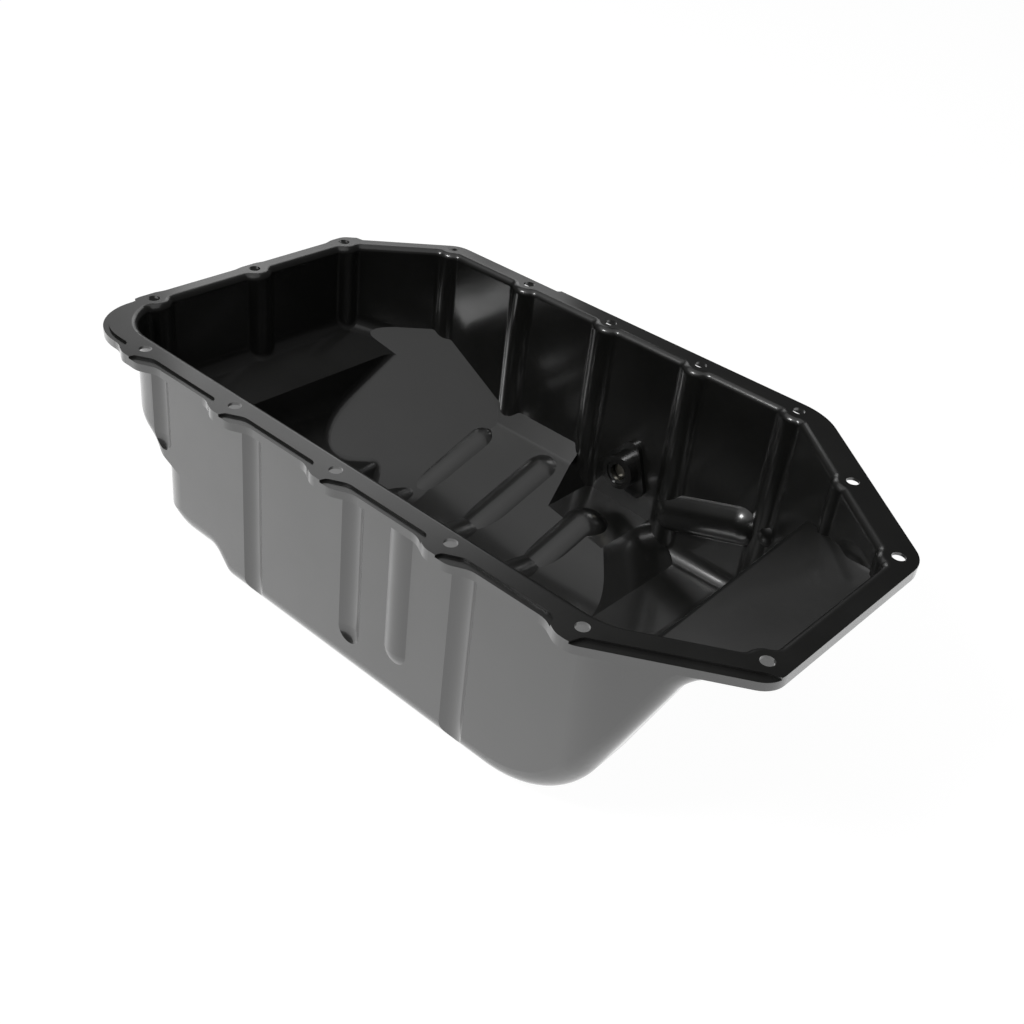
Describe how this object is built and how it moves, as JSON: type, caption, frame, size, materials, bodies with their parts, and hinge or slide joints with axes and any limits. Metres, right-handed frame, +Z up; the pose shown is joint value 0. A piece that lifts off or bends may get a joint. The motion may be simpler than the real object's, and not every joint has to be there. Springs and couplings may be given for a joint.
{
  "type": "engine oil pan",
  "caption": "Stamped steel wet-sump oil pan: bolted flange with turned-down lip, ribbed deep sump, stepped and sloped floor, side drain with weld nut, plug and washer.",
  "frame": {"origin": "middle of the overall length and width, on the underside of the main sump floor", "axes": "+Z up out of the flange face, +X along the engine from the square end to the tapered nose, +Y across towards the drain wall"},
  "size_m": [0.4414, 0.2588, 0.13],
  "materials": {
    "pan_coat": "gloss",
    "nut_coat": "gloss",
    "washer_metal": "satin",
    "plug_zinc": "satin"
  },
  "bodies": {
    "pan": {"oil_pan": "pan_coat", "drain_nut": "nut_coat"},
    "washer": {"drain_washer": "washer_metal"},
    "plug": {"drain_plug": "plug_zinc"}
  },
  "joints": [
    {"name": "washer_travel", "type": "slide", "parent": "pan", "child": "washer", "axis": [0, 1, 0], "range_m": [0, 0.00901]},
    {"name": "plug_turn", "type": "hinge", "parent": "washer", "child": "plug", "pos_m": [0.00215, 0.116, 0.045], "axis": [0, 1, 0], "range_deg": [0, 2592]}
  ],
  "couplings": [
    {"joint": "washer_travel", "follows": "plug_turn", "m_per_rad": 0.00019894}
  ]
}
